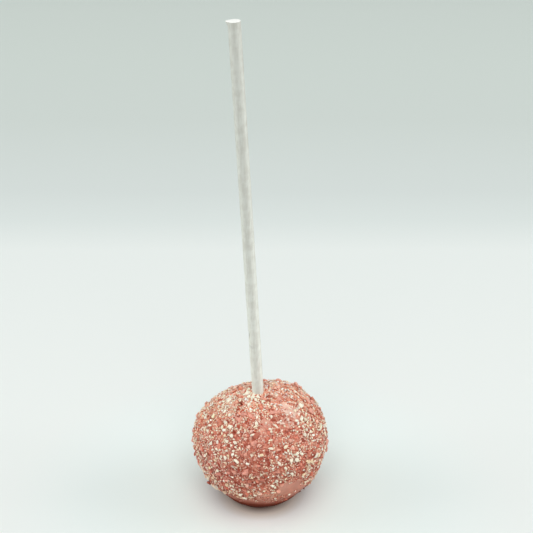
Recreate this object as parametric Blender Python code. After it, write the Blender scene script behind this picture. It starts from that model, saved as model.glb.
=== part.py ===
# Cake pop: a ball of cake in a pink candy coating, rolled in crumbs, with a paper stick up from its crown.
# Metres, +Z up. The origin is on the table under the middle of the ball. The front faces -Y.
import math
import random

import bmesh
import bpy
from mathutils import Quaternion, Vector, noise

MM = 0.001
CLEARANCE = 0.3 * MM
SHARP_EDGE = math.radians(35)

# Coated ball without its crumbs: a squat dome above its widest level, drawn in below it to a flat foot
BALL_RADIUS = 23.0 * MM
WIDEST_LEVEL = 25.3 * MM
CROWN_LEVEL = 42.1 * MM
LOWEST_LEVEL = -2.1 * MM  # where the underside would close if the table had not pressed it flat
CROWN_TAPER = 0.53  # 0.5 makes half an ellipse, and more draws the outline in
UNDERSIDE_TAPER = 0.65
OUTLINE_HALVINGS = 24  # steps of the search for the outline in one direction
BALL_GRID = 14  # squares along each side of the six panels that the ball's mesh is made from
WAVE_HEIGHT, WAVE_LENGTH = 0.5 * MM, 13 * MM
RIPPLE_HEIGHT, RIPPLE_LENGTH = 0.22 * MM, 5 * MM

# Places on the ball are a turn from the front towards +X and a rise above the widest level, in degrees.
# Each swelling, or hollow where its height is negative: turn, rise, height and spread.
SWELLINGS = (
    (135, 46, 1.0 * MM, 11 * MM),
    (-135, 46, -1.0 * MM, 12 * MM),
    (30, -24, -0.5 * MM, 5 * MM),
    (60, 79, -0.6 * MM, 2.5 * MM),
)
# Each smooth patch that stays bare of crumbs: turn, rise and radius.
BARE_PATCHES = (
    (54, 49, 3.6 * MM),
    (29, -23, 4.2 * MM),
    (10, 38, 2.6 * MM),
)
BARE_SKIRT = 5.0 * MM  # height above the table where the crumbs begin

# Crumbs large enough to stand out from a step away
CRUMB_COUNT = 340
LONGEST_CRUMB, SHORTEST_CRUMB = 2.8 * MM, 1.3 * MM
FULL_CRUMB_LENGTH = 2.2 * MM  # longer crumbs have twenty facets, the others ten
CRUMB_SPACING = 2.2 * MM
CRUMB_TRIES = 10
CRUMB_SHRINKING = 0.4  # below 1, most of the crumbs are near the shortest length
CRUMB_WIDTHS = (0.6, 0.85)  # least and most, as parts of the length
CRUMB_THICKNESSES = (0.75, 0.95)  # least and most, as parts of the width
CRUMB_ROUGHNESS = 0.22
CRUMB_LEAN = 0.35
CRUMB_SINK = 0.04
CRUMB_SEED = 11
# The biggest crumbs of the front and the right shoulder: turn, rise, length and width.
BIG_CRUMBS = (
    (-11, 4, 3.2 * MM, 2.4 * MM),
    (-80, 54, 2.9 * MM, 1.9 * MM),
    (80, 45, 2.4 * MM, 1.6 * MM),
    (-4, 28, 2.5 * MM, 1.9 * MM),
    (30, 19, 2.1 * MM, 1.6 * MM),
    (26, -2, 2.2 * MM, 1.6 * MM),
    (55, 4, 2.2 * MM, 1.7 * MM),
    (128, 46, 3.0 * MM, 2.4 * MM),
    (97, 36, 2.6 * MM, 2.2 * MM),
    (84, 1, 2.6 * MM, 2.2 * MM),
    (-88, 5, 2.0 * MM, 1.7 * MM),
)

# Rolled paper stick, 6 inches long and pushed in to about half the depth of the ball
STICK_RADIUS = 1.95 * MM
STICK_LENGTH = 152.4 * MM
SUNK_LENGTH = 23.5 * MM
STICK_ENTRY = Vector((-0.85 * MM, 0, 42.3 * MM))
STICK_LEAN = Vector((-0.050, -0.055, 1)).normalized()
STICK_SIDES = 32
RIM_ROUNDING = 0.15 * MM
# The cut upper end flares into a burr on its left.
BURR_REACH, BURR_LENGTH = 0.75 * MM, 0.9 * MM
BURR_TURN, BURR_WIDTH = math.radians(-100), math.radians(28)
# A nick on the left, above the ball
NICK_HEIGHT, NICK_SPREAD = 22.5 * MM, 1.3 * MM
NICK_DEPTH = 0.25 * MM
NICK_TURN, NICK_WIDTH = math.radians(-80), math.radians(24)


def clear_scene():
    for existing in list(bpy.data.objects):
        bpy.data.objects.remove(existing, do_unlink=True)


def finish(name, colour, roughness):
    material = bpy.data.materials.new(name)
    material.use_nodes = True
    shader = material.node_tree.nodes["Principled BSDF"]
    shader.inputs["Base Color"].default_value = (*colour, 1)
    shader.inputs["Roughness"].default_value = roughness
    shader.inputs["Metallic"].default_value = 0
    return material


def object_from(name, shape, collection):
    """Turn a bmesh into a named object and free the bmesh."""
    mesh = bpy.data.meshes.new(name)
    shape.to_mesh(mesh)
    shape.free()
    made = bpy.data.objects.new(name, mesh)
    collection.objects.link(made)
    return made


def bump_at(distance, spread):
    return math.exp(-((distance / spread) ** 2))


def direction_at(turn, rise):
    turn = math.radians(turn)
    rise = math.radians(rise)
    return Vector((math.sin(turn) * math.cos(rise), -math.cos(turn) * math.cos(rise), math.sin(rise)))


def outline_radius(level):
    """Radius of the plain turned outline at a height above the table."""
    reach, taper = WIDEST_LEVEL - LOWEST_LEVEL, UNDERSIDE_TAPER
    if level > WIDEST_LEVEL:
        reach, taper = CROWN_LEVEL - WIDEST_LEVEL, CROWN_TAPER
    rise = (level - WIDEST_LEVEL) / reach
    return BALL_RADIUS * max(0, 1 - rise * rise) ** taper


def skin_radius(direction):
    """Distance of the bare coating from the middle of the widest level, in one direction."""
    inner, outer = 0, 2 * BALL_RADIUS
    for halving in range(OUTLINE_HALVINGS):
        radius = (inner + outer) / 2
        across = radius * math.hypot(direction.x, direction.y)
        if across < outline_radius(WIDEST_LEVEL + radius * direction.z):
            inner = radius
        else:
            outer = radius
    for turn, rise, height, spread in SWELLINGS:
        distance = direction.angle(direction_at(turn, rise)) * BALL_RADIUS
        radius += height * bump_at(distance, spread)
    place = direction * BALL_RADIUS
    radius += WAVE_HEIGHT * noise.noise(place / WAVE_LENGTH)
    radius += RIPPLE_HEIGHT * noise.noise(place / RIPPLE_LENGTH)
    return radius


def skin_point(direction):
    return Vector((0, 0, WIDEST_LEVEL)) + direction * skin_radius(direction)


def make_ball(coating):
    """The coated ball: an uneven egg of revolution cut flat where it stands on the table."""
    shape = bmesh.new()
    bmesh.ops.create_cube(shape, size=2)
    bmesh.ops.subdivide_edges(shape, edges=shape.edges[:], cuts=BALL_GRID - 1, use_grid_fill=True)
    for vertex in shape.verts:
        evened = Vector(math.tan(step * math.pi / 4) for step in vertex.co)
        vertex.co = skin_point(evened.normalized())
    everything = shape.verts[:] + shape.edges[:] + shape.faces[:]
    cut = bmesh.ops.bisect_plane(
        shape, geom=everything, dist=0.01 * MM, plane_co=(0, 0, 0), plane_no=(0, 0, 1), clear_inner=True
    )
    rim = [edge for edge in cut["geom_cut"] if isinstance(edge, bmesh.types.BMEdge)]
    bmesh.ops.contextual_create(shape, geom=rim)
    bmesh.ops.recalc_face_normals(shape, faces=shape.faces[:])
    ball = object_from("coated_ball", shape, bpy.context.scene.collection)
    ball.data.materials.append(coating)
    return ball


def stick_distance(place):
    """Distance of a place from the stick's middle line."""
    return (place - STICK_ENTRY).cross(STICK_LEAN).length


def has_room(place, length, taken):
    """Whether a crumb fits here: off the skirt, the stick, the bare patches and the crumbs there already."""
    if place.z < BARE_SKIRT + length / 2:
        return False
    if stick_distance(place) < STICK_RADIUS + 2 * CLEARANCE + length / 2:
        return False
    for turn, rise, radius in BARE_PATCHES:
        if (place - skin_point(direction_at(turn, rise))).length < radius + length / 2:
            return False
    return all((place - other).length > CRUMB_SPACING for other in taken)


def random_direction(draw):
    rise = draw.uniform(-1, 1)
    turn = draw.uniform(0, 2 * math.pi)
    level = math.sqrt(1 - rise * rise)
    return Vector((level * math.cos(turn), level * math.sin(turn), rise))


def farthest_place(draw, length, taken):
    """Of several random places with room, the one farthest from the crumbs there already."""
    best, best_gap = None, -1
    tries = 0
    while tries < CRUMB_TRIES:
        direction = random_direction(draw)
        place = skin_point(direction)
        if not has_room(place, length, taken):
            continue
        tries += 1
        gap = min((place - other).length for other in taken)
        if gap > best_gap:
            best, best_gap = direction, gap
    return best


def make_crumb(draw, direction, length, width, crumbs):
    """A jagged grain lying on the coating, stretched, with its corners pushed in and out."""
    shape = bmesh.new()
    if length > FULL_CRUMB_LENGTH:
        bmesh.ops.create_icosphere(shape, subdivisions=1, radius=0.5)
    else:
        bmesh.ops.create_uvsphere(shape, u_segments=5, v_segments=2, radius=0.5)
    thickness = width * draw.uniform(*CRUMB_THICKNESSES)
    for vertex in shape.verts:
        vertex.co *= 1 + draw.uniform(-CRUMB_ROUGHNESS, CRUMB_ROUGHNESS)
        vertex.co.x *= length
        vertex.co.y *= width
        vertex.co.z *= thickness
    crumb = object_from("crumb", shape, crumbs)
    crumb.rotation_mode = "QUATERNION"
    leaning = direction + CRUMB_LEAN * random_direction(draw)
    spin = Quaternion((0, 0, 1), draw.uniform(0, math.pi))
    crumb.rotation_quaternion = leaning.to_track_quat("Z", "X") @ spin
    crumb.location = skin_point(direction) - direction * thickness * CRUMB_SINK


def scatter_crumbs(crumbs):
    """The big crumbs first, and then the others from long to short, each as far from the rest as it can be."""
    draw = random.Random(CRUMB_SEED)
    taken = []
    for turn, rise, length, width in BIG_CRUMBS:
        direction = direction_at(turn, rise)
        make_crumb(draw, direction, length, width, crumbs)
        taken.append(skin_point(direction))
    others = CRUMB_COUNT - len(BIG_CRUMBS)
    for number in range(others):
        shrinking = (number / others) ** CRUMB_SHRINKING
        length = LONGEST_CRUMB + (SHORTEST_CRUMB - LONGEST_CRUMB) * shrinking
        width = length * draw.uniform(*CRUMB_WIDTHS)
        direction = farthest_place(draw, length, taken)
        make_crumb(draw, direction, length, width, crumbs)
        taken.append(skin_point(direction))


def apply_modifiers(target):
    graph = bpy.context.evaluated_depsgraph_get()
    applied = bpy.data.meshes.new_from_object(target.evaluated_get(graph), depsgraph=graph)
    target.modifiers.clear()
    target.data = applied


def keep_outer_shell(target):
    """Drop sealed hollows and loose scraps, so that one closed shell is left."""
    shape = bmesh.new()
    shape.from_mesh(target.data)
    unseen = set(shape.verts)
    shells = []
    while unseen:
        edge_of_shell = [unseen.pop()]
        shell = set(edge_of_shell)
        while edge_of_shell:
            vertex = edge_of_shell.pop()
            for edge in vertex.link_edges:
                neighbour = edge.other_vert(vertex)
                if neighbour in unseen:
                    unseen.remove(neighbour)
                    shell.add(neighbour)
                    edge_of_shell.append(neighbour)
        shells.append(shell)
    shells.sort(key=len)
    for shell in shells[:-1]:
        bmesh.ops.delete(shape, geom=list(shell), context="VERTS")
    shape.to_mesh(target.data)
    shape.free()


def fuse_crumbs(ball):
    crumbs = bpy.data.collections.new("crumbs")
    bpy.context.scene.collection.children.link(crumbs)
    scatter_crumbs(crumbs)
    union = ball.modifiers.new("crumbs", "BOOLEAN")
    union.operation = "UNION"
    union.operand_type = "COLLECTION"
    union.collection = crumbs
    union.solver = "EXACT"
    apply_modifiers(ball)
    for crumb in list(crumbs.objects):
        bpy.data.objects.remove(crumb, do_unlink=True)
    bpy.data.collections.remove(crumbs)
    keep_outer_shell(ball)


def place_on_stick_line(target):
    """Stand an object's +Z along the stick, with its origin at the stick's lower end."""
    target.rotation_mode = "QUATERNION"
    target.rotation_quaternion = Vector((0, 0, 1)).rotation_difference(STICK_LEAN)
    target.location = STICK_ENTRY - STICK_LEAN * SUNK_LENGTH


def cut_socket(ball):
    """The blind hole that the stick fills, wider than it by the clearance."""
    shape = bmesh.new()
    radius = STICK_RADIUS + CLEARANCE
    depth = SUNK_LENGTH * 2
    bmesh.ops.create_cone(
        shape, segments=STICK_SIDES, radius1=radius, radius2=radius, depth=depth, cap_ends=True
    )
    bmesh.ops.translate(shape, verts=shape.verts, vec=(0, 0, depth / 2 - CLEARANCE))
    cutter = object_from("socket_cutter", shape, bpy.context.scene.collection)
    place_on_stick_line(cutter)
    cutter.hide_render = True
    cutter.display_type = "WIRE"
    cut = ball.modifiers.new("socket", "BOOLEAN")
    cut.operation = "DIFFERENCE"
    cut.object = cutter
    cut.solver = "EXACT"


def turn_gap(turn, other):
    """The smaller angle between two turns about the stick."""
    return abs((turn - other + math.pi) % (2 * math.pi) - math.pi)


def stick_side(level, turn):
    """Radius of the stick at a height above its lower end, with the nick pressed in and the burr drawn out."""
    nick = bump_at(level - SUNK_LENGTH - NICK_HEIGHT, NICK_SPREAD)
    nick *= bump_at(turn_gap(turn, NICK_TURN), NICK_WIDTH)
    burr = bump_at(STICK_LENGTH - level, BURR_LENGTH)
    burr *= bump_at(turn_gap(turn, BURR_TURN), BURR_WIDTH)
    return STICK_RADIUS - NICK_DEPTH * nick + BURR_REACH * burr


def stick_levels():
    """Heights of the stick's rings: close together at the nick and the burr."""
    nick = SUNK_LENGTH + NICK_HEIGHT
    round_nick = [nick + step * NICK_SPREAD / 2 for step in range(-4, 5)]
    up_to_burr = [STICK_LENGTH - step * BURR_LENGTH / 2 for step in range(5, 0, -1)]
    return [RIM_ROUNDING, *round_nick, *up_to_burr, STICK_LENGTH - RIM_ROUNDING]


def make_stick(paper):
    shape = bmesh.new()
    rings = [(0, -RIM_ROUNDING), *((level, 0) for level in stick_levels()), (STICK_LENGTH, -RIM_ROUNDING)]
    turns = [2 * math.pi * side / STICK_SIDES for side in range(STICK_SIDES)]
    rows = []
    for level, inset in rings:
        row = []
        for turn in turns:
            radius = stick_side(level, turn) + inset
            row.append(shape.verts.new((radius * math.sin(turn), -radius * math.cos(turn), level)))
        rows.append(row)
    for lower, upper in zip(rows, rows[1:]):
        for side in range(STICK_SIDES):
            after = (side + 1) % STICK_SIDES
            shape.faces.new((lower[side], lower[after], upper[after], upper[side]))
    shape.faces.new(rows[0][::-1])
    shape.faces.new(rows[-1])
    bmesh.ops.recalc_face_normals(shape, faces=shape.faces[:])
    stick = object_from("paper_stick", shape, bpy.context.scene.collection)
    place_on_stick_line(stick)
    stick.data.materials.append(paper)
    stick.data.shade_smooth()
    stick.data.set_sharp_from_angle(angle=SHARP_EDGE)


def make_cake_pop():
    coating = finish("pink_coating", (0.61, 0.31, 0.24), 0.6)
    paper = finish("white_paper", (0.80, 0.80, 0.75), 0.75)
    ball = make_ball(coating)
    fuse_crumbs(ball)
    ball.data.shade_smooth()
    ball.data.set_sharp_from_angle(angle=SHARP_EDGE)
    cut_socket(ball)
    make_stick(paper)


clear_scene()
make_cake_pop()
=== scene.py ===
import itertools
import math
import random

import bmesh
import bpy
import numpy as np
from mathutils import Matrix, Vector, kdtree, noise


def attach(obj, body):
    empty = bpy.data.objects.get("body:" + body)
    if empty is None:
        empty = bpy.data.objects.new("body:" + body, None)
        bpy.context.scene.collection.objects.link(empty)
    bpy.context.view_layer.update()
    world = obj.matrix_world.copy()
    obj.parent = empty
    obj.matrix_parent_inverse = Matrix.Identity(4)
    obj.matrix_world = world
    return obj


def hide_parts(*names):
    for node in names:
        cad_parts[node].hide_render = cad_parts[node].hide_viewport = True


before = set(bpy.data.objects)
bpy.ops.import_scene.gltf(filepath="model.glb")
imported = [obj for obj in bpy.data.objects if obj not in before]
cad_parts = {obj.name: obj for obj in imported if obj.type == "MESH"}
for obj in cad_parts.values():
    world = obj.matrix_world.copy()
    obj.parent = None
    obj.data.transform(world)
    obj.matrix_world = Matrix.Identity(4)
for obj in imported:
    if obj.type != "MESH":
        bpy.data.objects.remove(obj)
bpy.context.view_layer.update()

mm = 0.001
cadNames = {"body": "root", "ball": "coated_ball", "stick": "paper_stick"}


# Shader maths: a Wire is one output of a node, and sums of Wires add their own nodes.
class Wire:
    def __init__(self, finish, socket):
        self.finish = finish
        self.socket = socket

    def __add__(self, other):
        return self.finish.sums("ADD", self, other)

    __radd__ = __add__

    def __sub__(self, other):
        return self.finish.sums("SUBTRACT", self, other)

    def __rsub__(self, other):
        return self.finish.sums("SUBTRACT", other, self)

    def __mul__(self, other):
        return self.finish.sums("MULTIPLY", self, other)

    __rmul__ = __mul__


class Finish:
    # a material with one Principled shader, whose plain values are given by name
    def __init__(self, name, **plain):
        self.material = bpy.data.materials.new(name)
        self.material.use_nodes = True
        self.tree = self.material.node_tree
        self.shader = self.tree.nodes["Principled BSDF"]
        for socket, value in plain.items():
            self.shader.inputs[socket.replace("_", " ")].default_value = value

    def node(self, kind, settings, sockets, output=0):
        made = self.tree.nodes.new(kind)
        for setting, value in settings.items():
            if setting == "stops":
                self.setStops(made.color_ramp, value)
            else:
                setattr(made, setting, value)
        for socket, value in sockets.items():
            self.feed(made.inputs[socket], value)
        return Wire(self, made.outputs[output])

    def setStops(self, ramp, stops):
        while len(ramp.elements) < len(stops):
            ramp.elements.new(0.5)
        for element, (place, colour) in zip(ramp.elements, stops):
            element.position = place
            element.color = (*colour, 1)

    def feed(self, socket, value):
        if isinstance(value, Wire):
            self.tree.links.new(value.socket, socket)
        elif isinstance(value, tuple) and socket.type == "RGBA":
            socket.default_value = (*value, 1)
        else:
            socket.default_value = value

    def sums(self, operation, first, second):
        return self.node("ShaderNodeMath", {"operation": operation}, {0: first, 1: second})

    def step(self, wire, low, high):
        # 0 below low and 1 above high, with a smooth rise between
        return self.node(
            "ShaderNodeMapRange",
            {"interpolation_type": "SMOOTHSTEP"},
            {"Value": wire, "From Min": low, "From Max": high},
        )

    def blend(self, mask, first, second):
        return self.node("ShaderNodeMix", {"data_type": "RGBA"}, {0: mask, 6: first, 7: second}, 2)

    def tint(self, colour, factor):
        return self.node(
            "ShaderNodeVectorMath", {"operation": "SCALE"}, {"Vector": colour, "Scale": factor}
        )

    def noise(self, place, size, detail, roughness):
        # a noise whose lumps are about size metres across
        return self.node(
            "ShaderNodeTexNoise",
            {},
            {"Vector": place, "Scale": 1 / size, "Detail": detail, "Roughness": roughness},
        )

    def pattern(self, place, form, fade):
        # spots of a noise's form, which fade in between the two values of fade
        return self.step(self.noise(place, *form), *fade)

    def places(self):
        return self.node("ShaderNodeTexCoord", {}, {}, "Object")

    def painted(self, layer):
        return self.node("ShaderNodeAttribute", {"attribute_name": layer}, {}, "Color")

    def masked(self, layer):
        return self.node("ShaderNodeAttribute", {"attribute_name": layer}, {}, "Fac")

    def bump(self, height, depth, strength):
        normal = self.node(
            "ShaderNodeBump", {}, {"Height": height, "Distance": depth, "Strength": strength}, "Normal"
        )
        self.feed(self.shader.inputs["Normal"], normal)

    def surface(self, **wires):
        for socket, wire in wires.items():
            self.feed(self.shader.inputs[socket.replace("_", " ")], wire)


def shade(red, green, blue):
    # a colour given as it shows on a screen, 0 to 255, in the linear values that a shader takes
    return tuple(
        part / 12.92 if part <= 0.04045 else ((part + 0.055) / 1.055) ** 2.4
        for part in (red / 255, green / 255, blue / 255)
    )


def gauss(distance, spread):
    return np.exp(-((distance / spread) ** 2))


def smoothStep(value, low, high):
    part = np.clip((value - low) / (high - low), 0, 1)
    return part * part * (3 - 2 * part)


def unit(vectors):
    return vectors / np.linalg.norm(vectors, axis=-1, keepdims=True)


def noiseAt(places, size, shift=0.0):
    return np.array([noise.noise(place) for place in (places / size + shift).tolist()])


# The ball's form. Its sizes repeat the solid's, so that the coating lies where the solid does.
# Places on it are a turn from the front towards +X and a rise above the widest level, in degrees.
ballForm = {
    "radius": 23.0 * mm,
    "widestLevel": 25.3 * mm,
    "crownLevel": 42.1 * mm,
    "lowestLevel": -2.1 * mm,
    "crownTaper": 0.53,
    "undersideTaper": 0.65,
    "waveHeight": 0.5 * mm,
    "waveLength": 13 * mm,
    "rippleHeight": 0.22 * mm,
    "rippleLength": 5 * mm,
    "halvings": 24,  # steps of the search for the skin along a direction
    # each swelling, or hollow where its height is negative: turn, rise, height and spread
    "swellings": (
        (135, 46, 1.0 * mm, 11 * mm),
        (-135, 46, -1.0 * mm, 12 * mm),
        (30, -24, -0.5 * mm, 5 * mm),
        (60, 79, -0.6 * mm, 2.5 * mm),
    ),
}

# Where the coating stays bare, and where each colour of crumb lies thickest: turn, rise and radius in
# millimetres, and for the bare patches how bare they are
ballZones = {
    "barePatches": (
        (30, -26, 6.0, 1.0),
        (20, -42, 5.0, 0.8),
        (48, -36, 5.0, 1.0),
        (3, -32, 4.0, 0.85),
        (-105, 52, 6.0, 0.5),
        (54, 50, 5.2, 0.7),
        (38, 42, 3.4, 0.55),
        (8, 46, 3.2, 0.65),
        (4, 33, 2.4, 0.5),
        (-76, 38, 3.0, 0.5),
        (-62, 56, 2.6, 0.6),
    ),
    "creamDrifts": (
        (68, 28, 6.0), (53, -6, 4.5), (-50, 1, 4), (-52, 33, 3.5),
        (29, 14, 3.5), (20, 1, 3), (-32, 22, 4.5), (-30, 12, 3.5),
        (-64, 38, 6), (-21, -29, 4.5), (-50, -22, 4), (-93, 55, 4),
        (-60, 76, 4), (0, 62, 2.5), (160, 30, 9), (-140, 10, 10),
    ),
    "pinkDrifts": (
        (-20, 43, 5), (-20, 2, 7), (0, 0, 6), (34, 27, 4),
        (-6, 24, 3), (85, 12, 5), (120, 58, 4), (35, 76, 4),
        (125, 50, 6), (-120, 40, 9), (150, -5, 9),
    ),
    # where coating and crumbs are paler or redder: turn, rise, radius and what it does to the colour.
    # The zones on the left and right rims, turned more than 85 degrees from the front, are painted
    # light, paler where the rim catches the light
    "toneZones": (
        (0, 90, 17, (1.36, 1.72, 1.76)),
        (54, 50, 6, (0.97, 1.05, 1.08)),
        (-89, 20, 9, (1.17, 1.44, 1.42)),
        (-60, 30, 7, (1.02, 1.10, 1.10)),
        (-112, 46, 8, (1.20, 1.56, 1.56)),
        (-132, 52, 6, (1.12, 1.28, 1.34)),
        (108, 43, 9, (1.27, 1.70, 1.70)),
        (75, -6, 7, (1.00, 1.12, 1.12)),
        (150, 52, 8, (1.10, 1.28, 1.30)),
        (77, 28, 5, (1.10, 1.32, 1.32)),
        (38, 46, 5, (1.03, 1.20, 1.26)),
        (-34, 12, 5, (1.07, 1.16, 1.18)),
        (3, 40, 5, (0.90, 0.83, 0.82)),
        (34, -6, 5, (0.95, 0.80, 0.78)),
        (6, -22, 5, (1.15, 1.50, 1.55)),
        (-38, -16, 6, (0.98, 0.86, 0.85)),
        (-14, 3, 11, (0.79, 0.68, 0.66)),
        (-45, -6, 9, (0.88, 0.77, 0.78)),
        (30, -2, 8, (0.86, 0.80, 0.77)),
    ),
    # painted shade, darker towards the table: what the colours are multiplied by near the foot, the
    # levels, and the tone at each
    "footLevels": (2.5 * mm, 5 * mm, 7 * mm, 9 * mm, 12 * mm, 17 * mm, 22 * mm),
    "footShades": (
        (0.10, 0.11, 0.11),
        (0.21, 0.16, 0.16),
        (0.29, 0.16, 0.14),
        (0.60, 0.43, 0.37),
        (0.90, 0.81, 0.76),
        (1.0, 0.93, 0.90),
        (1.0, 1.0, 1.0),
    ),
    "skirtLevel": 10.8 * mm,  # the crumbs thin out below it
    "skirtFade": 3.6 * mm,
    "skirtUneven": 3.2 * mm,
    "skirtLength": 5 * mm,
    "skirtShift": 3.1,
    # the uneven edge of the bare patches: how uneven, over which length, and where it fades
    "edgeUneven": 0.6,
    "edgeLength": 3 * mm,
    "edgeShift": 7.3,
    "edgeFade": (0.6, 1.2),
}

# The stick's form. Turns, and widths round it, are in degrees.
stickForm = {
    "radius": 1.95 * mm,
    "length": 152.4 * mm,
    "sunkLength": 23.5 * mm,
    "entry": Vector((-0.85 * mm, 0, 42.3 * mm)),
    "lean": Vector((-0.050, -0.055, 1)).normalized(),
    "sides": 96,
    "ringGap": 0.5 * mm,
    "rimRounding": 0.15 * mm,
    "burrReach": 0.75 * mm,
    "burrLength": 0.9 * mm,
    "burrTurn": -100,
    "burrWidth": 28,
    "nickHeight": 23.3 * mm,
    "nickSpread": 1.1 * mm,
    "nickDepth": 0.32 * mm,
    "nickTurn": -80,
    "nickWidth": 20,
    "creaseHeight": 19.3 * mm,
    "creaseSpread": 0.5 * mm,
    "creaseDepth": 0.10 * mm,
    "creaseTurn": -48,
    "creaseWidth": 38,
    "creaseSlope": 0.5 * mm,
    "seamTurn": 110,
    "seamDepth": 0.05 * mm,
    "seamWidth": 5,
    "capRings": 12,
    "capDome": 0.10 * mm,
    "capGroove": 0.03 * mm,
    "capLayer": 0.30 * mm,
    "crispAngle": 40,  # edges sharper than this stay sharp
}


def towards(turn, rise):
    turn, rise = math.radians(turn), math.radians(rise)
    return np.array((math.sin(turn) * math.cos(rise), -math.cos(turn) * math.cos(rise), math.sin(rise)))


def skinDistance(directions, turn, rise):
    # how far each direction is from a place, along the skin
    return np.arccos(np.clip(directions @ towards(turn, rise), -1, 1)) * ballForm["radius"]


def outlineRadius(level):
    crown, widest, lowest = ballForm["crownLevel"], ballForm["widestLevel"], ballForm["lowestLevel"]
    above = level > widest
    reach = np.where(above, crown - widest, widest - lowest)
    taper = np.where(above, ballForm["crownTaper"], ballForm["undersideTaper"])
    rise = (level - widest) / reach
    return ballForm["radius"] * np.maximum(0, 1 - rise * rise) ** taper


def skinRadius(directions):
    # how far the bare coating is from the middle of the widest level, found by halving
    inner = np.zeros(len(directions))
    outer = np.full(len(directions), 2 * ballForm["radius"])
    across = np.hypot(directions[:, 0], directions[:, 1])
    for halving in range(ballForm["halvings"]):
        radius = (inner + outer) / 2
        inside = radius * across < outlineRadius(ballForm["widestLevel"] + radius * directions[:, 2])
        inner = np.where(inside, radius, inner)
        outer = np.where(inside, outer, radius)
    for turn, rise, height, spread in ballForm["swellings"]:
        radius = radius + height * gauss(skinDistance(directions, turn, rise), spread)
    places = directions * ballForm["radius"]
    radius = radius + ballForm["waveHeight"] * noiseAt(places, ballForm["waveLength"])
    return radius + ballForm["rippleHeight"] * noiseAt(places, ballForm["rippleLength"])


def skinPlaces(directions):
    middle = np.array((0, 0, ballForm["widestLevel"]))
    return middle + directions * skinRadius(directions)[:, None]


def skinPlace(turn, rise):
    return skinPlaces(towards(turn, rise)[None])[0]


def drift(directions, zones):
    # how much of each direction lies in any of the zones, 0 to 1
    share = np.zeros(len(directions))
    for turn, rise, radius in zones:
        share = np.maximum(share, gauss(skinDistance(directions, turn, rise), radius * mm))
    return share


def byLevel(places, levels, colours):
    # the colour at each place's level, between those of the given levels
    return np.stack([np.interp(places[:, 2], levels, part) for part in zip(*colours)], axis=1)


def toneAt(directions, places, grip=(1.0, 1.0)):
    # what the colours are multiplied by: paler on the crown, paler on the rims as painted light, redder
    # in patches, and darker by the foot as painted shade; grip is how far the zones and the foot's
    # painted shade are taken up
    tone = np.ones((len(directions), 3))
    for turn, rise, radius, change in ballZones["toneZones"]:
        share = gauss(skinDistance(directions, turn, rise), radius * mm)[:, None]
        tone *= 1 + share * (np.array(change) - 1)
    # painted shade, darker towards the table
    foot = byLevel(places, ballZones["footLevels"], ballZones["footShades"])
    return tone ** grip[0] * foot ** grip[1]


def bareShare(directions, places):
    # 1 on the smooth patches and the skirt, 0 where the crumbs lie
    share = np.zeros(len(directions))
    uneven = noiseAt(places, ballZones["edgeLength"], ballZones["edgeShift"])
    inner, outer = ballZones["edgeFade"]
    for turn, rise, radius, strength in ballZones["barePatches"]:
        edge = radius * mm * (1 + ballZones["edgeUneven"] * uneven)
        patch = 1 - smoothStep(skinDistance(directions, turn, rise), edge * inner, edge * outer)
        share = np.maximum(share, strength * patch)
    waves = noiseAt(places, ballZones["skirtLength"], ballZones["skirtShift"])
    level = places[:, 2] + ballZones["skirtUneven"] * waves
    middle, fade = ballZones["skirtLevel"], ballZones["skirtFade"]
    skirt = 1 - smoothStep(level, middle - fade / 2, middle + fade / 2)
    return np.maximum(share, skirt)


def stickDistance(places):
    entry, lean = np.array(stickForm["entry"]), np.array(stickForm["lean"])
    return np.linalg.norm(np.cross(places - entry, lean), axis=1)


def addObject(name, data):
    made = bpy.data.objects.new(name, data)
    bpy.context.scene.collection.objects.link(made)
    return made


def meshPiece(name, places, faces, finish, nodeName, layers):
    # a place for each corner, faces of three or of four corners, and layers as (name, values)
    mesh = bpy.data.meshes.new(name)
    sides = faces.shape[1]
    mesh.vertices.add(len(places))
    mesh.vertices.foreach_set("co", np.ascontiguousarray(places, dtype=np.float32).ravel())
    mesh.loops.add(faces.size)
    mesh.loops.foreach_set("vertex_index", np.ascontiguousarray(faces, dtype=np.int32).ravel())
    mesh.polygons.add(len(faces))
    mesh.polygons.foreach_set("loop_start", np.arange(0, faces.size, sides, dtype=np.int32))
    mesh.polygons.foreach_set("loop_total", np.full(len(faces), sides, dtype=np.int32))
    mesh.update(calc_edges=True)
    for layer, values in layers:
        if values.ndim == 2:
            made = mesh.color_attributes.new(layer, "FLOAT_COLOR", "POINT")
            values = np.c_[values, np.ones(len(values))]
            made.data.foreach_set("color", values.astype(np.float32).ravel())
        else:
            made = mesh.attributes.new(layer, "FLOAT", "POINT")
            made.data.foreach_set("value", values.astype(np.float32))
    piece = addObject(name, mesh)
    mesh.materials.append(finish.material)
    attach(piece, cadNames["body"])
    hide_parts(nodeName)
    return piece


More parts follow.
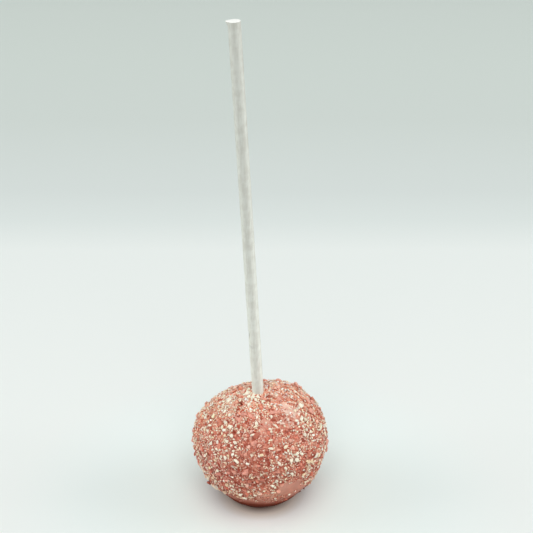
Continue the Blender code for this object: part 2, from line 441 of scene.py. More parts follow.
# Candy coating
coating = {
    "grid": 118,  # squares along each side of the six panels
    "dustHeight": 0.26 * mm,
    "dustLength": 1.5 * mm,
    "dustShift": 11.7,
    "fineHeight": 0.24 * mm,
    "fineLength": 0.85 * mm,
    "fineShift": 5.9,
    "bareSmoothness": 0.85,
    "collarHeight": 0.35 * mm,
    "collarSpread": 0.9 * mm,
    "hollowDepths": (0.0, 0.10 * mm),  # painted shade: the hollows between its lumps are darker and redder
    "hollowStrength": 0.9,
    # how far the coating climbs each crumb, and from how far off, against the crumb's length
    "bedHeight": 0.04,
    "bedSpread": 0.6,
    # painted shade in the gap round a crumb, a dark red: how far off and how wide, against the crumb's
    # length, and the length from which it has its full strength
    "creviceReach": 0.56,
    "creviceSpread": 0.22,
    "creviceLength": 1.6 * mm,
    # the painted shade of a pit for each millimetre of depth, its darkest, its tint, and how far it and
    # the dark red painted shade of the gaps spread, against the pit's radius
    "pitShade": 0.59,
    "pitDarkest": 0.95,
    "pitTint": (0.8, 1.0, 1.0),
    "pitShadeSpread": 1.25,
    "pitCreviceSpread": 1.3,
    # each small pit: turn, rise, depth and radius in millimetres
    "pits": (
        (-56, 62, 1.6, 0.8),
        (121, 60, 0.9, 1.0),
        (52, 78, 0.8, 1.0),
        (30, 72, 0.6, 0.9),
        (-4, -13, 0.4, 0.6),
        (3, -13, 0.4, 0.6),
        (-30, 31, 0.6, 0.7),
        (20, 46, 0.5, 0.8),
    ),
    "pink": shade(230, 166, 141),
    "pale": shade(243, 194, 170),
    "deep": shade(208, 130, 104),
    # painted shade: the dark red of the gaps round crumbs, the hollows and the pits
    "crevice": shade(164, 50, 22),
    # each pattern of the colour: size, detail and roughness, where it fades in, and its strength
    "mottle": ((2.2 * mm, 4.0, 0.5), (0.35, 0.68)),
    "specks": ((0.6 * mm, 3.0, 0.6), (0.47, 0.60), 0.6),
    # painted shade: small dark specks, in the dark red of the gaps, among the crumbs
    "shadeSpecks": ((0.8 * mm, 3.0, 0.65), (0.54, 0.64), 0.6),
    "creviceStrength": 0.8,
    "bareMottle": (0.88, 0.16),  # the least, and what the mottle adds
    "bareFade": (0.3, 0.95),
    # the bare coating's colours, from the foot up
    "bareLevels": (8 * mm, 16 * mm, 26 * mm),
    "bareColours": (shade(196, 128, 108), shade(208, 142, 122), shade(228, 174, 156)),
    "roughness": 0.7,
    "gloss": (0.4, 0.8),  # among the crumbs, and on the bare coating
    "glossRoughness": 0.45,
    "glossRefraction": 1.45,
    "dullLevels": (6.5 * mm, 11 * mm),  # the gloss fades out between them, towards the foot
    "grain": (0.45 * mm, 3.0, 0.65),
    "grainDepth": 0.12 * mm,
    "grainStrength": 0.8,
    "grainHeight": 1.1,  # among the crumbs; it is lower by 1 on the bare coating
}


def panelDirections(grid):
    # a cube's six panels, evened out over a sphere, with their shared corners joined
    steps = np.tan(np.linspace(-1, 1, grid + 1) * math.pi / 4)
    across, along = np.meshgrid(steps, steps, indexing="ij")
    ones = np.ones_like(across)
    square = np.arange((grid + 1) ** 2).reshape(grid + 1, grid + 1)
    corners = (square[:-1, :-1], square[1:, :-1], square[1:, 1:], square[:-1, 1:])
    panel = np.stack([corner.ravel() for corner in corners], axis=1)
    places, faces = [], []
    for axis in range(3):
        for side in (1, -1):
            three = [None, None, None]
            three[axis] = side * ones
            three[(axis + 1) % 3] = across * side
            three[(axis + 2) % 3] = along
            faces.append(panel + len(places) * square.size)
            places.append(np.stack([part.ravel() for part in three], axis=1))
    places, faces = np.concatenate(places), np.concatenate(faces)
    joined, which = np.unique(places.round(6), axis=0, return_inverse=True)
    return unit(joined), which.ravel()[faces]


def coatingFinish():
    finish = Finish(
        "pinkCandyCoating",
        Specular_IOR_Level=0.0,
        Coat_Roughness=coating["glossRoughness"],
        Coat_IOR=coating["glossRefraction"],
    )
    place = finish.places()
    bare = finish.masked("bare")
    mottle = finish.pattern(place, *coating["mottle"])
    colour = finish.blend(mottle, coating["deep"], coating["pink"])
    # pale specks are the coating's own; the dark ones are painted shade
    for pattern, spotColour in (("specks", "pale"), ("shadeSpecks", "crevice")):
        form, fade, strength = coating[pattern]
        spots = finish.pattern(place, form, fade)
        colour = finish.blend(spots * (1 - bare) * strength, colour, coating[spotColour])
    # painted shade: the gaps round crumbs, the hollows and the pits take a dark red
    crevice = finish.masked("crevice") * coating["creviceStrength"]
    colour = finish.blend(crevice, colour, coating["crevice"])
    least, added = coating["bareMottle"]
    softMottle = finish.tint(finish.painted("bareColour"), least + mottle * added)
    colour = finish.blend(finish.step(bare, *coating["bareFade"]), colour, softMottle)
    # the tone holds the zones, the painted shade by the foot and the painted shade in the pits
    colour = finish.node(
        "ShaderNodeVectorMath", {"operation": "MULTIPLY"}, {0: colour, 1: finish.painted("tone")}
    )
    least, most = coating["gloss"]
    gloss = (least + bare * (most - least)) * finish.masked("glossy")
    finish.surface(Base_Color=colour, Roughness=coating["roughness"], Coat_Weight=gloss)
    grain = finish.noise(place, *coating["grain"]) * (coating["grainHeight"] - bare)
    finish.bump(grain, coating["grainDepth"], coating["grainStrength"])
    return finish


def nearCrumbs(places, crumbs):
    # for each place, how high the coating climbs its nearest crumb, and how much painted shade it takes
    # in the gap beside the crumb
    tree = kdtree.KDTree(len(crumbs))
    for number, (crumb, length) in enumerate(crumbs):
        tree.insert(crumb, number)
    tree.balance()
    climb, crevice = np.zeros(len(places)), np.zeros(len(places))
    for number, place in enumerate(places.tolist()):
        for crumb, which, away in tree.find_n(place, 2):
            length = crumbs[which][1]
            part = away / length
            climbed = length * math.exp(-((part / coating["bedSpread"]) ** 2))
            beside = (part - coating["creviceReach"]) / coating["creviceSpread"]
            depth = min(1, length / coating["creviceLength"]) * math.exp(-(beside**2))
            climb[number] = max(climb[number], climbed)
            crevice[number] = max(crevice[number], depth)
    return climb, crevice


def makeCoating(crumbs):
    directions, faces = panelDirections(coating["grid"])
    places = skinPlaces(directions)
    bare = bareShare(directions, places)
    dust = noiseAt(places, coating["dustLength"], coating["dustShift"])
    fine = noiseAt(places, coating["fineLength"], coating["fineShift"])
    height = dust * coating["dustHeight"] + fine * coating["fineHeight"]
    height = height * (1 - coating["bareSmoothness"] * bare)
    climb, crevice = nearCrumbs(places, crumbs)
    # painted shade in the hollows between the coating's lumps
    hollow = smoothStep(-height, *coating["hollowDepths"])
    crevice = np.maximum(crevice, coating["hollowStrength"] * hollow * (1 - bare))
    tone = toneAt(directions, places)
    height += coating["bedHeight"] * climb
    fromStick = stickDistance(places) - stickForm["radius"]
    onTop = places[:, 2] > ballForm["widestLevel"]
    height += onTop * coating["collarHeight"] * gauss(fromStick, coating["collarSpread"])
    for turn, rise, depth, radius in coating["pits"]:
        radius = radius * mm
        away = np.linalg.norm(places - skinPlace(turn, rise), axis=1)
        height -= depth * mm * gauss(away, radius)
        # painted shade in each pit: the dark red of the gaps, and a tone that darkens towards its middle
        crevice = np.maximum(crevice, gauss(away, radius * coating["pitCreviceSpread"]))
        shading = min(coating["pitDarkest"], coating["pitShade"] * depth)
        shaded = gauss(away, radius * coating["pitShadeSpread"])[:, None]
        tone *= 1 - shading * shaded * coating["pitTint"]
    places = places + directions * height[:, None]
    places[:, 2] = np.maximum(places[:, 2], 0)
    layers = (
        ("bare", bare),
        ("crevice", crevice),
        ("bareColour", byLevel(places, coating["bareLevels"], coating["bareColours"])),
        ("tone", tone),
        ("glossy", smoothStep(places[:, 2], *coating["dullLevels"])),
    )
    piece = meshPiece(
        "candyCoating", places, faces, coatingFinish(), cadNames["ball"], layers
    )
    piece.data.shade_smooth()
    print("coating:", len(faces), "squares")


# Crumbs, in kinds from the largest to the finest. Where a value has two numbers, a crumb's own lies
# between them. Widths are given against the length, and thicknesses against the width.
crumbKinds = {
    "pinkChunks": {
        "count": 150,
        "lengths": (1.2 * mm, 2.5 * mm),
        "narrow": (0.55, 0.85),
        "thick": (0.55, 0.85),
        "corners": 11,
        "rough": 0.14,  # above 0, its faces are folded finer
        "uneven": 0.12,
        "crisp": 42,  # edges sharper than this angle stay sharp
        "mottle": 0.26,
        # how strongly painted shade darkens its base, where it meets the coating
        "baseShading": 0.6,
        "toneGrip": (0.8, 1.0),  # how far it takes up the ball's zones and the painted shade by the foot
        "gap": 0.95,  # kept from the next one, against their size
        "lean": 0.25,
        "lift": 0.30,  # how far its middle is above the coating, against its thickness
        "drifts": "pinkDrifts",
        "ground": 0.35,  # how thickly they lie everywhere, and what a drift adds
        "inDrift": 0.9,
        "colours": ((238, 164, 142), (230, 146, 122), (244, 180, 158), (218, 128, 104)),
        "standoutColour": (238, 164, 144),
        "seed": 21,
    },
    "creamFlakes": {
        "count": 360,
        "lengths": (0.9 * mm, 1.8 * mm),
        "narrow": (0.5, 0.95),
        "thick": (0.55, 0.9),
        "corners": 12,
        "rough": 0.05,
        "uneven": 0.06,
        "crisp": 70,
        "mottle": 0.05,
        "baseShading": 0.8,
        "toneGrip": (0.2, 0.75),
        "gap": 0.8,
        "lean": 0.30,
        "lift": 0.36,
        "drifts": "creamDrifts",
        "ground": 0.12,
        "inDrift": 1.1,
        "colours": ((255, 243, 219), (254, 236, 206), (252, 226, 188), (255, 246, 230)),
        "standoutColour": (255, 245, 223),
        "seed": 22,
    },
    "creamGrains": {
        "count": 2300,
        "lengths": (0.4 * mm, 1.0 * mm),
        "narrow": (0.6, 1.0),
        "thick": (0.6, 1.0),
        "corners": 10,
        "rough": 0,
        "uneven": 0.08,
        "crisp": 80,
        "mottle": 0.05,
        "baseShading": 0.8,
        "toneGrip": (0.25, 0.75),
        "gap": 0.75,
        "lean": 0.40,
        "lift": 0.40,
        "drifts": "creamDrifts",
        "ground": 0.30,
        "inDrift": 0.9,
        "colours": ((255, 239, 213), (252, 228, 198), (250, 216, 184), (255, 244, 225)),
        "seed": 23,
    },
    "pinkGrains": {
        "count": 2500,
        "lengths": (0.6 * mm, 1.4 * mm),
        "narrow": (0.5, 0.9),
        "thick": (0.55, 0.95),
        "corners": 9,
        "rough": 0,
        "uneven": 0.1,
        "crisp": 60,
        "mottle": 0.1,
        "baseShading": 0.7,
        "toneGrip": (0.85, 1.0),
        "gap": 0.74,
        "lean": 0.40,
        "lift": 0.34,
        "drifts": "pinkDrifts",
        "ground": 0.65,
        "inDrift": 0.5,
        "colours": ((238, 160, 138), (220, 128, 104), (254, 210, 190), (184, 82, 58), (246, 160, 134)),
        "seed": 24,
    },
    "pinkDust": {
        "count": 7500,
        "lengths": (0.28 * mm, 0.62 * mm),
        "narrow": (0.6, 1.0),
        "thick": (0.6, 1.0),
        "corners": 8,
        "rough": 0,
        "uneven": 0.1,
        "crisp": 60,
        "mottle": 0.1,
        "baseShading": 0.6,
        "toneGrip": (0.65, 1.0),
        "gap": 0.55,
        "lean": 0.50,
        "lift": 0.36,
        "drifts": "pinkDrifts",
        "ground": 0.9,
        "inDrift": 0.2,
        "colours": ((240, 158, 136), (210, 112, 88), (254, 216, 196), (174, 68, 44), (255, 234, 212)),
        "seed": 25,
    },
}

# The painted shade that darkens each crumb low down, where it sinks into the coating: its colour, and
# between which parts of the crumb's height it fades into the crumb's own colour
crumbBaseShade = {"colour": shade(164, 52, 24), "fade": (0.12, 0.60)}

# Crumbs that stand out, by kind: turn, rise, length and width in millimetres, how far the length tilts
# from level, and for one that sits higher than the rest, by how many millimetres
standouts = {
    "pinkChunks": (
        (-12, 0, 3.3, 2.5, 20), (-6, 25, 2.7, 2.2, 60), (121, 46, 3.4, 2.9, 20, 0.8),
        (109, 42, 1.7, 1.4, 60), (100, 31, 2.2, 1.7, 30), (93, 24, 1.8, 1.5, 0),
        (150, 50, 2.6, 2.2, 30), (172, 50, 2.4, 2.0, 10), (97, 36, 2.6, 2.2, 90),
        (80, 32, 2.8, 1.9, 110), (79, -2, 3.0, 2.3, 70), (81, -10, 2.6, 2.0, 30),
        (-88, -3, 2.6, 2.1, 0), (-29, 51, 2.6, 1.8, 10), (-31, 44, 3.0, 1.6, 170),
        (-16, 51, 2.0, 1.5, 150), (26, 54, 3.6, 1.4, 170), (-27, -4, 1.7, 1.5, 60),
        (60, 66, 2.4, 1.6, 20),
    ),
    "creamFlakes": (
        (-91, 76, 2.3, 1.6, 150), (-82, 71, 2.0, 1.3, 20), (-38, 77, 1.8, 1.3, 90),
        (-50, 80, 1.6, 1.2, 20), (-10, 79, 1.9, 1.3, 170), (-55, 74, 1.5, 1.1, 60),
        (-19, 74, 1.5, 1.1, 120), (-81, 53, 2.4, 1.9, 30), (-77, 42, 1.6, 1.1, 60),
        (-60, 44, 1.7, 1.1, 110), (-49, 44, 1.6, 1.4, 0), (-75, 27, 1.3, 1.2, 30),
        (-37, 35, 2.3, 1.4, 25), (-46, 36, 1.6, 1.1, 20), (-62, 26, 2.5, 0.9, 30),
        (-8, 32, 2.3, 1.1, 25), (-5, 50, 1.7, 0.8, 80), (-5, 43, 1.8, 1.3, 80),
        (-30, 64, 1.4, 1.2, 0), (-36, 33, 1.3, 1.0, 40), (-30, 28, 1.5, 1.1, 150),
        (-24, 32, 1.2, 0.9, 80), (-33, 22, 1.4, 1.1, 10), (-27, 20, 1.3, 1.0, 120),
        (-30, 15, 1.2, 0.9, 60), (-24, 16, 1.4, 1.0, 30), (77, 44, 2.5, 1.7, 170),
        (82, 32, 2.5, 1.0, 80), (57, 36, 2.4, 1.4, 40), (48, 23, 2.1, 1.5, 120),
        (108, 50, 2.1, 1.1, 160), (12, 37, 1.4, 1.1, 0), (20, 39, 2.7, 0.7, 130),
        (70, 55, 1.7, 0.6, 138), (18, 50, 1.3, 0.9, 110), (57, 22, 1.6, 1.2, 160),
        (30, 17, 2.1, 1.2, 70), (32, 12, 1.9, 1.4, 10), (37, 10, 1.7, 1.2, 150),
        (31, 7, 1.8, 1.6, 0), (54, 1, 2.4, 1.9, 20), (16, 7, 2.3, 1.0, 118),
        (21, 2, 1.5, 1.1, 150), (27, -5, 2.1, 1.1, 130), (39, -13, 1.1, 0.9, 0),
        (14, -10, 1.5, 1.3, 80), (10, -15, 1.7, 1.2, 0), (10, 20, 2.2, 0.9, 165),
        (-24, 23, 1.6, 1.3, 0), (-48, 15, 1.8, 1.2, 65), (-40, 13, 1.4, 1.1, 0),
        (-41, 8, 1.8, 0.7, 15), (-52, 2, 1.4, 1.3, 0), (-30, 9, 1.8, 1.2, 105),
        (-20, 9, 2.1, 1.2, 150), (-38, -6, 1.3, 1.2, 0), (-24, -8, 1.6, 0.8, 10),
        (-25, -23, 1.7, 1.2, 10), (-18, -27, 1.9, 1.6, 70), (-15, -34, 1.8, 1.1, 140),
        (-56, -24, 1.8, 1.1, 20), (11, -24, 1.3, 0.9, 20), (30, -34, 1.1, 0.9, 0),
        (15, -35, 1.2, 0.8, 150), (-5, -27, 1.3, 0.9, 10),
    ),
}

# What the kinds share
allKinds = {
    "shapes": 7,  # of each kind
    "roughDraw": (-1, 0.6),
    "mottleDraw": (-0.6, 1),
    "triesEach": 9,  # places drawn for each crumb
    # clumps: their length, where they fade in, the share between them and what they add to it
    "clumpLength": 4 * mm,
    "clumpFade": (-0.3, 0.35),
    "clumpLeast": 0.25,
    "clumpAdded": 1.1,
    "pitFade": (0.9, 1.6),  # crumbs keep out of a pit, against its radius
    "lengthPower": 2.2,  # more short crumbs than long ones
    "cellSize": 3.4 * mm,  # no smaller than the widest gap
    "leanLength": 0.7,  # only crumbs below this part of the greatest length lean
    "brightness": (0.80, 1.13),
    "standoutBrightness": (0.88, 1.02),
    "standoutGrip": 0.4,
    "brightest": 0.97,
    "beddedLength": 0.6 * mm,  # the coating climbs crumbs longer than this
}


def crumbShapes(kind, draw):
    # jagged grains: hulls round scattered corners, some folded finer and roughened
    shapes = []
    for shapeNumber in range(allKinds["shapes"]):
        grain = bmesh.new()
        for corner in range(kind["corners"]):
            away = Vector((draw.gauss(0, 1), draw.gauss(0, 1), draw.gauss(0, 1))).normalized()
            grain.verts.new(away * draw.uniform(0.5 - kind["uneven"], 0.5))
        hull = bmesh.ops.convex_hull(grain, input=grain.verts[:])
        inside = set(hull["geom_interior"]) | set(hull["geom_unused"])
        bmesh.ops.delete(grain, geom=list(inside), context="VERTS")
        if kind["rough"]:
            bmesh.ops.subdivide_edges(grain, edges=grain.edges[:], cuts=1, use_grid_fill=True)
            for vertex in grain.verts:
                push = draw.uniform(*allKinds["roughDraw"])
                vertex.co += vertex.co.normalized() * kind["rough"] * push
        bmesh.ops.triangulate(grain, faces=grain.faces[:])
        bmesh.ops.recalc_face_normals(grain, faces=grain.faces[:])
        grain.verts.index_update()
        corners = np.array([vertex.co[:] for vertex in grain.verts])
        faces = np.array([[vertex.index for vertex in face.verts] for face in grain.faces])
        grain.free()
        # each shape just fills a cube of side 1
        corners = (corners - corners.min(axis=0)) / np.ptp(corners, axis=0) - 0.5
        mottle = np.array([draw.uniform(*allKinds["mottleDraw"]) for corner in corners])
        shapes.append((corners, faces, 1 - kind["mottle"] * mottle))
    return shapes


class Crowd:
    # the crumbs placed so far, in cells, so that a new one finds its neighbours
    def __init__(self, cellSize):
        self.cellSize = cellSize
        self.cells = {}

    def cellOf(self, place):
        return [math.floor(part / self.cellSize) for part in place]

    def add(self, place, reach):
        self.cells.setdefault(tuple(self.cellOf(place)), []).append((place, reach))

    def hasRoom(self, place, reach):
        nearX, nearY, nearZ = ((cell - 1, cell, cell + 1) for cell in self.cellOf(place))
        for cell in itertools.product(nearX, nearY, nearZ):
            for other, otherReach in self.cells.get(cell, ()):
                if math.dist(place, other) < reach + otherReach:
                    return False
        return True


def tiltedLine(direction, tilt):
    # a line on the skin, turned by tilt from level, as seen from outside
    level = unit(np.cross((0, 0, 1), direction))
    steep = np.cross(direction, level)
    return level * math.cos(math.radians(tilt)) + steep * math.sin(math.radians(tilt))


def pitShare(places):
    # 1 in the middle of each pit of the coating, 0 away from them
    share = np.zeros(len(places))
    inner, outer = allKinds["pitFade"]
    for turn, rise, depth, radius in coating["pits"]:
        radius = radius * mm
        away = np.linalg.norm(places - skinPlace(turn, rise), axis=1)
        share = np.maximum(share, 1 - smoothStep(away, radius * inner, radius * outer))
    return share


def placeCrumbs(name, kind, crowd):
    # where each crumb of a kind lies, and its length and width, longest first
    rng = np.random.default_rng(kind["seed"])
    tries = kind["count"] * allKinds["triesEach"]
    directions = unit(rng.normal(size=(tries, 3)))
    places = skinPlaces(directions)
    bare = bareShare(directions, places)
    share = kind["ground"] + kind["inDrift"] * drift(directions, ballZones[kind["drifts"]])
    clumps = noiseAt(places, allKinds["clumpLength"], kind["seed"])
    clumps = smoothStep(clumps, *allKinds["clumpFade"])
    share *= allKinds["clumpLeast"] + allKinds["clumpAdded"] * clumps
    share *= 1 - pitShare(places)
    share *= 1 - bare
    share[stickDistance(places) < stickForm["radius"]] = 0
    keep = rng.random(tries) < share
    directions, places = directions[keep], places[keep]
    least, most = kind["lengths"]
    lengths = least + (most - least) * rng.random(len(places)) ** allKinds["lengthPower"]
    lengths = np.sort(lengths)[::-1]
    widths = lengths * rng.uniform(*kind["narrow"], len(lengths))
    chosen = []
    for turn, rise, length, width, tilt, *higher in standouts.get(name, ()):
        length, width = length * mm, width * mm
        direction = towards(turn, rise)
        place = skinPlace(turn, rise) + direction * (sum(higher) * mm)
        crowd.add(place.tolist(), kind["gap"] * (length + width) / 4)
        chosen.append((direction, place, length, width, tiltedLine(direction, tilt)))
    lines = rng.normal(size=(len(places), 3))
    for direction, place, length, width, line in zip(directions, places, lengths, widths, lines):
        if len(chosen) >= kind["count"]:
            break
        reach = kind["gap"] * (length + width) / 4
        if crowd.hasRoom(place.tolist(), reach):
            crowd.add(place.tolist(), reach)
            chosen.append((direction, place, length, width, line))
    parts = [np.array([crumb[part] for crumb in chosen]) for part in range(5)]
    return (*parts, rng)


def makeCrumbs(name, kind, crowd, finish):
    directions, places, lengths, widths, lines, rng = placeCrumbs(name, kind, crowd)
    shapes = crumbShapes(kind, random.Random(kind["seed"]))
    count = len(places)
    thick = widths * rng.uniform(*kind["thick"], count)
    longest = kind["lengths"][1]
    leaning = kind["lean"] * np.clip(lengths / longest, 0, 1)
    leans = lengths < longest * allKinds["leanLength"]
    upward = unit(directions + leaning[:, None] * rng.normal(size=(count, 3)) * leans[:, None])
    beside = unit(np.cross(upward, lines))
    along = np.cross(beside, upward)
    colours = np.array([shade(*colour) for colour in kind["colours"]])
    tints = colours[rng.integers(0, len(colours), count)]
    tints = tints * rng.uniform(*allKinds["brightness"], (count, 1))
    grip = np.array(kind["toneGrip"])
    special = len(standouts.get(name, ()))
    tints[special:] *= toneAt(directions, places, grip)[special:]
    if special:
        brightness = rng.uniform(*allKinds["standoutBrightness"], (special, 1))
        tints[:special] = np.array(shade(*kind["standoutColour"])) * brightness
        tints[:special] *= toneAt(directions, places, grip * allKinds["standoutGrip"])[:special]
    # painted shade for the crumbs' bases, in the ball's tones
    baseShades = np.array(crumbBaseShade["colour"]) * toneAt(directions, places)
    which = rng.integers(0, len(shapes), count)
    allPlaces, allFaces, allTints = [], [], []
    start = 0
    for shapeNumber, (corners, faces, mottle) in enumerate(shapes):
        mine = np.flatnonzero(which == shapeNumber)
        grown = (
            corners[None, :, 0, None] * (along * lengths[:, None])[mine][:, None]
            + corners[None, :, 1, None] * (beside * widths[:, None])[mine][:, None]
            + corners[None, :, 2, None] * (upward * thick[:, None])[mine][:, None]
        )
        lift = directions[mine] * (thick[mine] * kind["lift"])[:, None]
        grown += (places[mine] + lift)[:, None]
        offsets = start + np.arange(len(mine)) * len(corners)
        allFaces.append((faces[None] + offsets[:, None, None]).reshape(-1, 3))
        allPlaces.append(grown.reshape(-1, 3))
        # painted shade: each crumb darkens towards its base
        baseShaded = kind["baseShading"] * (1 - smoothStep(corners[:, 2] + 0.5, *crumbBaseShade["fade"]))[:, None]
        mixed = tints[mine][:, None] * mottle[:, None] * (1 - baseShaded) + baseShades[mine][:, None] * baseShaded
        allTints.append(np.minimum(mixed, allKinds["brightest"]).reshape(-1, 3))
        start += len(mine) * len(corners)
    joined, faces = np.concatenate(allPlaces), np.concatenate(allFaces)
    layers = (("tint", np.concatenate(allTints)),)
    piece = meshPiece(name, joined, faces, finish, cadNames["ball"], layers)
    piece.data.shade_smooth()
    piece.data.set_sharp_from_angle(angle=math.radians(kind["crisp"]))
    print(name + ":", count, "crumbs,", len(faces), "triangles")
    return list(zip(places.tolist(), lengths.tolist()))


crumbSurface = {
    "refraction": 1.45,
    "sheen": 0.2,
    "sheenRoughness": 0.5,
    "poreDetail": (3.0, 0.6),
    "poreFade": (0.3, 0.6),
    "poreShade": (0.82, 0.22),  # the least, and what the spaces between the pores add
    "poreStrength": 0.7,
    # each surface: roughness, pore size and pore depth
    "surfaces": {
        "coarseCrumb": (0.72, 0.5 * mm, 0.12 * mm),
        "fineCrumb": (0.68, 0.3 * mm, 0.05 * mm),
    },
}


def crumbFinish(name, roughness, poreSize, poreDepth):
    finish = Finish(
        name,
        IOR=crumbSurface["refraction"],
        Sheen_Weight=crumbSurface["sheen"],
        Sheen_Roughness=crumbSurface["sheenRoughness"],
    )
    pores = finish.noise(finish.places(), poreSize, *crumbSurface["poreDetail"])
    between = finish.step(pores, *crumbSurface["poreFade"])
    least, added = crumbSurface["poreShade"]
    colour = finish.tint(finish.painted("tint"), least + between * added)
    finish.surface(Base_Color=colour, Roughness=roughness)
    finish.bump(pores, poreDepth, crumbSurface["poreStrength"])
    return finish


# Rolled paper stick
paper = {
    "white": shade(219, 221, 213),
    "shadow": shade(206, 206, 197),
    # painted light: the cut end, which faces up, is paler
    "cut": shade(250, 252, 247),
    # painted light along the stick, brighter low down near the ball: what the colour is multiplied by
    # above the ball, half way up and at the cut end
    "dulling": (1.20, 0.99, 0.90),
    # painted shade in a strip along the front, and painted light in a strip on each side of it: turn,
    # width and change
    "strips": ((-5, 38, -0.14), (60, 30, 0.09), (-70, 28, 0.07)),
    # painted shade darkening the nick and the crease
    "nickShade": 0.6,
    "creaseShade": 0.22,
    "roughness": 0.78,
    "refraction": 1.5,
    # each pattern: size, detail and roughness
    "streaks": (0.6 * mm, 3.0, 0.6),
    "mottle": (2.5 * mm, 4.0, 0.55),
    "fibres": (0.22 * mm, 3.0, 0.6),
    "streakSquash": 0.12,  # the lower it is, the longer the streaks
    "wornFade": (0.38, 0.62),
    "grainDepth": 0.05 * mm,
    "grainStrength": 0.7,
}


def stripShare(turn, middle, width):
    # 1 along the middle of a strip of the stick's side, 0 away from it
    gap = np.abs((turn - math.radians(middle) + math.pi) % (2 * math.pi) - math.pi)
    return gauss(gap, math.radians(width))


def stickMarks(level, turn):
    # how far each place lies in the nick and in the crease, 0 to 1
    aboveBall = level - stickForm["sunkLength"]
    nick = gauss(aboveBall - stickForm["nickHeight"], stickForm["nickSpread"])
    nick = nick * stripShare(turn, stickForm["nickTurn"], stickForm["nickWidth"])
    slope = stickForm["creaseSlope"] * np.cos(turn)
    crease = gauss(aboveBall - stickForm["creaseHeight"] + slope, stickForm["creaseSpread"])
    return nick, crease * stripShare(turn, stickForm["creaseTurn"], stickForm["creaseWidth"])


def stickSide(level, turn):
    nick, crease = stickMarks(level, turn)
    burr = gauss(stickForm["length"] - level, stickForm["burrLength"])
    burr = burr * stripShare(turn, stickForm["burrTurn"], stickForm["burrWidth"])
    seam = stripShare(turn, stickForm["seamTurn"], stickForm["seamWidth"])
    radius = stickForm["radius"] - stickForm["nickDepth"] * nick - stickForm["creaseDepth"] * crease
    return radius + stickForm["burrReach"] * burr - stickForm["seamDepth"] * seam


def stickFinish():
    finish = Finish("rolledWhitePaper", IOR=paper["refraction"])
    place = finish.places()
    stretched = finish.node(
        "ShaderNodeMapping",
        {"vector_type": "POINT"},
        {"Vector": place, "Scale": (1.0, 1.0, paper["streakSquash"])},
    )
    streaks = finish.noise(stretched, *paper["streaks"])
    mottle = finish.noise(place, *paper["mottle"])
    worn = finish.step(streaks * 0.5 + mottle * 0.5, *paper["wornFade"])
    colour = finish.blend(worn, paper["shadow"], paper["white"])
    # painted light and shade along and round the stick, and painted shade in the nick and the crease
    colour = finish.tint(colour, finish.masked("dulling"))
    # painted light on the cut end
    colour = finish.blend(finish.masked("cut"), colour, paper["cut"])
    finish.surface(Base_Color=colour, Roughness=paper["roughness"])
    fibres = finish.noise(place, *paper["fibres"])
    finish.bump(fibres * 0.5 + streaks * 0.5, paper["grainDepth"], paper["grainStrength"])
    return finish


def stickRows(turns):
    # rings of corners, from the hidden end up to the cut one and in over it
    rounding, length = stickForm["rimRounding"], stickForm["length"]
    levels = [*np.arange(rounding, length - rounding, stickForm["ringGap"]), length - rounding]
    rings = [(0.0, rounding)] + [(level, 0.0) for level in levels] + [(length, rounding)]
    rows = []
    for level, inset in rings:
        radius = stickSide(level, turns) - inset
        upright = np.full(len(turns), level)
        rows.append(np.stack([radius * np.sin(turns), -radius * np.cos(turns), upright], axis=1))
    rim = rows[-1]
    for ring in range(1, stickForm["capRings"]):
        # the cut end: a low dome, grooved in a spiral by the rolled layers
        part = 1 - ring / stickForm["capRings"]
        layer = part * stickForm["radius"] / stickForm["capLayer"] - turns / (2 * math.pi)
        row = rim * np.array((part, part, 1))
        row[:, 2] += stickForm["capDome"] * (1 - part * part)
        row[:, 2] -= stickForm["capGroove"] * (0.5 + 0.5 * np.cos(2 * math.pi * layer))
        rows.append(row)
    return rows


def stickTriangles(rowCount, sides):
    # the two corners after the last row are the middles of the cut end and of the hidden one
    here = np.arange(sides)
    after = (here + 1) % sides
    faces = []
    for row in range(rowCount - 1):
        low, high = row * sides, (row + 1) * sides
        faces.append(np.stack([low + here, low + after, high + after, high + here], axis=1))
    faces = np.concatenate(faces)
    last, top = (rowCount - 1) * sides, rowCount * sides
    lid = np.stack([last + here, last + after, np.full(sides, top)], axis=1)
    base = np.stack([after, here, np.full(sides, top + 1)], axis=1)
    return np.concatenate([faces[:, (0, 1, 2)], faces[:, (0, 2, 3)], lid, base])


def makeStick():
    sides = stickForm["sides"]
    rows = stickRows(np.arange(sides) * 2 * math.pi / sides)
    triangles = stickTriangles(len(rows), sides)
    places = np.concatenate([*rows, [rows[-1].mean(axis=0), (0, 0, 0)]])
    cut = np.zeros(len(places))
    cut[(len(rows) - stickForm["capRings"]) * sides:-1] = 1
    # painted light and shade: brighter near the ball, darker along the front, paler on the sides, darker
    # in the nick and the crease
    levels = places[:, 2]
    heights = np.linspace(stickForm["sunkLength"], stickForm["length"], len(paper["dulling"]))
    dulling = np.interp(levels, heights, paper["dulling"])
    around = np.arctan2(places[:, 0], -places[:, 1])
    for turn, width, change in paper["strips"]:
        dulling *= 1 + change * stripShare(around, turn, width)
    nick, crease = stickMarks(levels, around)
    dulling *= (1 - paper["nickShade"] * nick) * (1 - paper["creaseShade"] * crease)
    leaning = Vector((0, 0, 1)).rotation_difference(stickForm["lean"]).to_matrix()
    foot = stickForm["entry"] - stickForm["lean"] * stickForm["sunkLength"]
    places = places @ np.array(leaning).T + np.array(foot)
    layers = (("cut", cut), ("dulling", dulling))
    piece = meshPiece(
        "paperStick", places, triangles, stickFinish(), cadNames["stick"], layers
    )
    piece.data.shade_smooth()
    piece.data.set_sharp_from_angle(angle=math.radians(stickForm["crispAngle"]))
    print("stick:", len(triangles), "triangles")
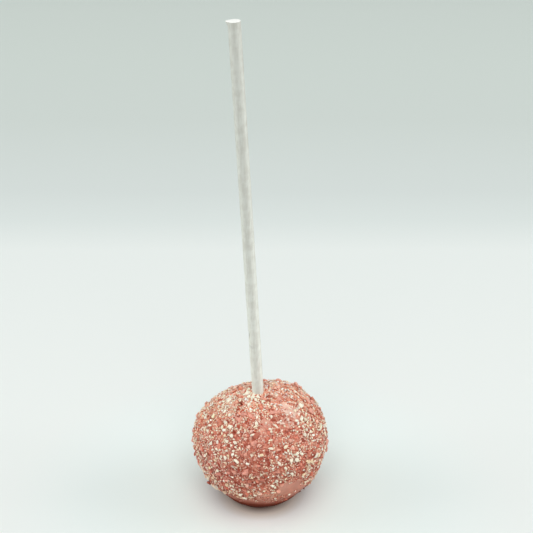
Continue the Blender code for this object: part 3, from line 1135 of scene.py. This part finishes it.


# Studio: a pale table with painted shadow and light on it, a soft light above and the camera
studio = {
    "tableRadius": 3.0,
    "tableLevel": -0.03 * mm,
    "tableSides": 128,
    "tableRoughness": 0.9,
    "tableGloss": 0.2,
    # the table's colour by distance in metres, with painted light and shade: a painted contact shadow
    # under the foot, a painted pink glow thrown off the ball and a brighter painted ring round it, and
    # painted shade darker towards the back. It lies in rings round the foot, as far as the rings reach,
    # then in straight bands towards the back
    "ringReach": 0.10,
    "tableColoursAndShade": (
        (0.0, shade(120, 84, 70)),
        (0.0070, shade(150, 118, 102)),
        (0.0095, shade(251, 221, 206)),
        (0.0115, shade(250, 234, 221)),
        (0.0135, shade(252, 249, 243)),
        (0.0165, shade(253, 254, 252)),
        (0.021, shade(247, 254, 250)),
        (0.028, shade(239, 249, 245)),
        (0.036, shade(235, 245, 241)),
        (0.06, shade(237, 246, 243)),
        (0.09, shade(239, 244, 241)),
        (0.215, shade(238, 244, 241)),
        (0.255, shade(227, 235, 232)),
        (0.30, shade(221, 229, 226)),
        (0.44, shade(217, 226, 221)),
        (0.60, shade(220, 230, 224)),
        (0.80, shade(223, 233, 227)),
    ),
    # each softbox: place, size and power
    "softboxes": {
        "overhead": ((0.0, 0.0, 2.5), 2.25, 18),
        "front": ((0.0, -1.9, 2.1), 2.0, 44),
        "left": ((-2.5, -0.1, 1.0), 1.75, 22),
        "right": ((2.5, -0.1, 1.0), 1.75, 25),
    },
    "skyColour": (0.97, 1.0, 0.99),
    "skyStrength": 0.2,
    "cameraPlace": (2.07 * mm, -338.75 * mm, 245.49 * mm),
    "cameraPitch": 0.4318,
    "focalPixels": 1150.8,
    "imagePixels": 533,
    "sensorWidth": 36.0,
}


def makeTable():
    shape = bmesh.new()
    bmesh.ops.create_circle(
        shape, segments=studio["tableSides"], radius=studio["tableRadius"], cap_ends=True
    )
    mesh = bpy.data.meshes.new("paleTable")
    shape.to_mesh(mesh)
    shape.free()
    piece = addObject("paleTable", mesh)
    piece.location.z = studio["tableLevel"]
    finish = Finish(
        "paleTable", Roughness=studio["tableRoughness"], Specular_IOR_Level=studio["tableGloss"]
    )
    place = finish.places()
    away = finish.node("ShaderNodeVectorMath", {"operation": "LENGTH"}, {"Vector": place}, "Value")
    back = finish.node("ShaderNodeSeparateXYZ", {}, {"Vector": place}, "Y")
    reach = finish.sums("MAXIMUM", finish.sums("MINIMUM", away, studio["ringReach"]), back)
    # painted light and shade on the table, by distance from the foot and towards the back
    tone = finish.node("ShaderNodeValToRGB", {"stops": studio["tableColoursAndShade"]}, {"Fac": reach})
    finish.surface(Base_Color=tone)
    mesh.materials.append(finish.material)


def makeLights():
    for name, (place, size, power) in studio["softboxes"].items():
        lamp = bpy.data.lights.new(name, "AREA")
        lamp.shape = "SQUARE"
        lamp.size = size
        lamp.energy = power
        holder = addObject(name, lamp)
        holder.location = place
        aim = Vector((0, 0, ballForm["widestLevel"])) - holder.location
        holder.rotation_euler = aim.to_track_quat("-Z", "Y").to_euler()
    world = bpy.data.worlds.new("studioSky")
    world.use_nodes = True
    sky = world.node_tree.nodes["Background"]
    sky.inputs["Color"].default_value = (*studio["skyColour"], 1)
    sky.inputs["Strength"].default_value = studio["skyStrength"]
    bpy.context.scene.world = world
    bpy.context.scene.view_settings.view_transform = "Standard"


def makeCamera():
    lens = bpy.data.cameras.new("camera")
    lens.sensor_width = studio["sensorWidth"]
    lens.lens = studio["focalPixels"] * studio["sensorWidth"] / studio["imagePixels"]
    holder = addObject("camera", lens)
    holder.location = studio["cameraPlace"]
    holder.rotation_euler = (math.pi / 2 - studio["cameraPitch"], 0, 0)
    bpy.context.scene.camera = holder


makeCamera()
makeLights()
makeTable()
print("studio: table, camera and", len(studio["softboxes"]), "softboxes")
makeStick()
crowd = Crowd(allKinds["cellSize"])
crumbs = []
crumbFinishes = {
    surface: crumbFinish(surface, *values) for surface, values in crumbSurface["surfaces"].items()
}
for kindName, kindOfCrumb in crumbKinds.items():
    finish = crumbFinishes["coarseCrumb" if kindOfCrumb["rough"] else "fineCrumb"]
    crumbs += makeCrumbs(kindName, kindOfCrumb, crowd, finish)
makeCoating([crumb for crumb in crumbs if crumb[1] > allKinds["beddedLength"]])
